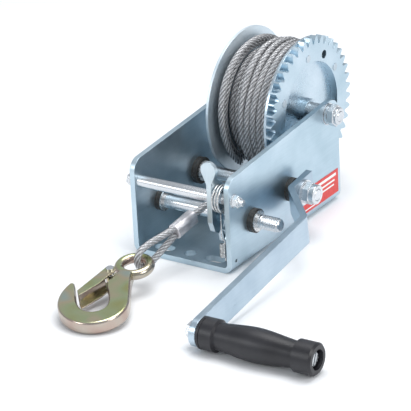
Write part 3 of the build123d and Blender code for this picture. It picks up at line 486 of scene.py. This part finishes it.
def blue_zinc(name, dark, light, grain, roughness, edge=0.0007):
    """Blue zinc plating over steel whose rolling grain is stretched one way."""
    paint = Paint(name, light, roughness, 1.0)
    clouds = paint.noise(26.0, 4.0)
    lines = paint.noise(650.0, 2.0, grain)
    specks = paint.noise(1500.0, 2.0)
    paint.set("Base Color", paint.ramp(clouds * 0.8 + lines * 0.2, (0.30, dark), (0.68, light)))
    paint.set("Roughness", roughness - 0.08 + clouds * 0.10 + lines * 0.12)
    paint.bump(lines + specks * 0.4, 0.00006, edge)
    return paint


sheet = blue_zinc("frame_zinc", (0.42, 0.55, 0.63), (0.60, 0.72, 0.80), (1.0, 0.05, 1.0), 0.34)
dress(sheet, "frame")

# --- Label ------------------------------------------------------------------------------
# Red vinyl sticker on the crank side of the frame. Plain white bars stand where a maker
# would print, in four rows of uneven length.
label_low, label_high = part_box("label")
vinyl = Paint("label_vinyl", (0.70, 0.05, 0.05), 0.35)
along_label, up_label = vinyl.split(vinyl.place())[1:]
WHITE = (0.90, 0.89, 0.88, 1.0)
# each row: foot, height, start and end, as shares of the label
ROWS = [
    (0.76, 0.12, 0.40, 0.94),
    (0.56, 0.08, 0.52, 0.90),
    (0.38, 0.07, 0.56, 0.88),
    (0.10, 0.05, 0.08, 0.50),
]
label_length = label_high[1] - label_low[1]
label_height = label_high[2] - label_low[2]
print_mask = None
for bottom, tall, begin, end in ROWS:
    low_z = label_low[2] + bottom * label_height
    low_y = label_low[1] + begin * label_length
    row = (up_label > low_z) * (up_label < low_z + tall * label_height)
    row = row * (along_label > low_y) * (along_label < label_low[1] + end * label_length)
    print_mask = row if print_mask is None else print_mask + row
scuffs = vinyl.noise(300.0, 3.0)
red = vinyl.ramp(scuffs, (0.3, (0.62, 0.03, 0.03)), (0.7, (0.74, 0.06, 0.05)))
vinyl.set("Base Color", vinyl.blend(print_mask, red, WHITE))
vinyl.set("Roughness", 0.28 + scuffs * 0.16)
dress(vinyl, "label")

# --- Drum and its gear ------------------------------------------------------------------
# Two pressed flanges on a welded barrel. The gear is blanked from plate, so its teeth
# show the grain of the shear, and six rivets hold it to the right flange.
pressed = blue_zinc("drum_zinc", (0.44, 0.56, 0.64), (0.64, 0.74, 0.82), (1.0, 0.6, 0.6), 0.26)
dress(pressed, "drum_flange_right", "drum_barrel", "drum_hub")
# Painted light: the left flange gets a lighter, rougher copy of the same pressed zinc.
lit_left_flange = blue_zinc("lit_left_flange_zinc", (0.64, 0.76, 0.84), (0.82, 0.90, 0.95), (1.0, 0.6, 0.6), 0.44)
lit_left_flange.set("Metallic", 0.85)
dress(lit_left_flange, "drum_flange_left")
blanked = blue_zinc("gear_zinc", (0.42, 0.55, 0.63), (0.60, 0.71, 0.79), (0.15, 1.0, 1.0), 0.30, 0.0004)
dress(blanked, "drum_gear", "crank_gear", "crank_pinion", "low_pinion", "ratchet_wheel", "crank_spacer")
riveted = blue_zinc("rivet_zinc", (0.40, 0.48, 0.54), (0.60, 0.67, 0.72), (1.0, 1.0, 1.0), 0.32, 0.0003)
dress(riveted, "drum_rivets")

# --- Shafts, bolts and nuts -------------------------------------------------------------
# Bright plated bar stock, turned, so its grain runs round the axis.
turned = blue_zinc("turned_steel", (0.55, 0.58, 0.61), (0.78, 0.80, 0.82), (3.0, 0.3, 0.3), 0.22, 0.0003)
dress(turned, "tie_tube", "tie_bolt", "tie_washers", "tie_nut", "axle_tube", "axle_bolt", "axle_washers",
      "axle_nut", "crank_shaft", "low_shaft", "crank_washer", "crank_nut", "grip_bolt", "grip_nut",
      "latch_rivet")

# --- Threads ----------------------------------------------------------------------------
# Rolled threads on the free ends of both geared shafts and of the tie bolt.
# Each is one raised ridge wound round the bar.
THREAD_STEPS = 40           # flats in one turn of a thread
RIDGE = 0.42                # half width and depth of a ridge, as shares of the pitch
SUNK = 0.0001
SHAFT_RADIUS = 0.0058
SHAFT_PITCH = 0.00175
BOLT_RADIUS = 0.0030
BOLT_PITCH = 0.0010
rolled = Paint("rolled_thread", (0.70, 0.72, 0.74), 0.24, 1.0)
oxide = rolled.noise(600.0, 3.0)
rolled.set("Base Color", rolled.ramp(oxide, (0.3, (0.52, 0.55, 0.58)), (0.7, (0.78, 0.80, 0.82))))
rolled.set("Roughness", 0.18 + oxide * 0.16)


def thread(name, body, start, end, y, z, radius, pitch):
    """A ridge of triangular section wound along X, sunk slightly into its bar."""
    verts, faces = [], []
    count = int((end - start - pitch) / pitch * THREAD_STEPS)
    depth = RIDGE * pitch
    for step in range(count + 1):
        angle = 2 * math.pi * step / THREAD_STEPS
        along = start + pitch * (0.5 + step / THREAD_STEPS)
        fade = min(1.0, step / THREAD_STEPS, (count - step) / THREAD_STEPS)
        for shift, reach in ((-RIDGE, -SUNK), (0.0, depth * fade), (RIDGE, -SUNK)):
            r = radius + reach
            verts.append((along + shift * pitch, y + r * math.cos(angle), z + r * math.sin(angle)))
    for step in range(count):
        a = 3 * step
        for corner in range(3):
            b = (corner + 1) % 3
            faces.append((a + corner, a + b, a + 3 + b, a + 3 + corner))
    faces.append((2, 1, 0))
    faces.append((3 * count, 3 * count + 1, 3 * count + 2))
    mesh = bpy.data.meshes.new(name)
    mesh.from_pydata(verts, [], faces)
    mesh.validate()
    mesh.update()
    mesh.materials.append(rolled.material)
    ridge = bpy.data.objects.new(name, mesh)
    bpy.context.scene.collection.objects.link(ridge)
    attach(ridge, body)


for name, body, holder, start in (
    ("crank_thread", "crank_drive", "crank_shaft", 0.0660),
    ("low_thread", "low_drive", "low_shaft", 0.0605),
):
    low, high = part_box(holder)
    middle = [(a + b) / 2 for a, b in zip(low, high)]
    thread(name, body, start, high[0] - 0.0008, middle[1], middle[2], SHAFT_RADIUS, SHAFT_PITCH)
bolt_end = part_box("tie_bolt")[1][0]
thread("tie_thread", "frame", 0.0534, bolt_end - 0.0004, -0.0865, 0.0683, BOLT_RADIUS, BOLT_PITCH)

# --- Springs and clips ------------------------------------------------------------------
# Drawn spring wire and stamped retaining rings, left bright and lightly oiled.
drawn = Paint("spring_wire", (0.62, 0.62, 0.62), 0.25, 1.0)
oily = drawn.noise(500.0, 2.0)
drawn.set("Base Color", drawn.ramp(oily, (0.3, (0.50, 0.50, 0.50)), (0.7, (0.78, 0.78, 0.77))))
drawn.set("Roughness", 0.18 + oily * 0.20)
dress(drawn, "pawl_coil_spring", "pawl_tension_spring", "pawl_spring_links", "latch_spring",
      "crank_clips", "low_clips")

# --- Bushes -----------------------------------------------------------------------------
# Moulded black nylon with a trace of grease that has picked up dust.
nylon = Paint("black_nylon", (0.03, 0.03, 0.03), 0.5)
dust = nylon.noise(340.0, 3.0)
nylon.set("Base Color", nylon.ramp(dust, (0.35, (0.015, 0.015, 0.015)), (0.75, (0.075, 0.068, 0.060))))
nylon.set("Roughness", 0.36 + dust * 0.25)
nylon.bump(dust, 0.0001, 0.0004)
dress(nylon, "shaft_bushes")

# --- Pawl -------------------------------------------------------------------------------
# Two-way pawl cut from plate, with a thumb tab bent across its top, and its sleeve.
stamped = blue_zinc("pawl_zinc", (0.46, 0.57, 0.64), (0.66, 0.75, 0.81), (1.0, 1.0, 0.1), 0.27, 0.0010)
dress(stamped, "pawl", "pawl_sleeve")

# --- Crank arm --------------------------------------------------------------------------
# Flat bar joggled outward to clear the low gear shaft, plated after bending.
bar = blue_zinc("crank_zinc", (0.36, 0.46, 0.55), (0.52, 0.62, 0.70), (1.0, 0.06, 1.0), 0.28, 0.0010)
dress(bar, "crank_arm")

# --- Grip -------------------------------------------------------------------------------
# Moulded black grip with a fine leathery texture from the mould, free on its bolt.
moulded = Paint("grip_black", (0.012, 0.012, 0.013), 0.36)
texture = moulded.noise(1400.0, 2.0)
shade = moulded.noise(45.0, 2.0)
moulded.set("Base Color", moulded.ramp(shade, (0.3, (0.007, 0.007, 0.010)), (0.7, (0.016, 0.016, 0.021))))
moulded.set("Roughness", 0.30 + texture * 0.12 + shade * 0.06)
moulded.bump(texture, 0.00009)
dress(moulded, "grip")
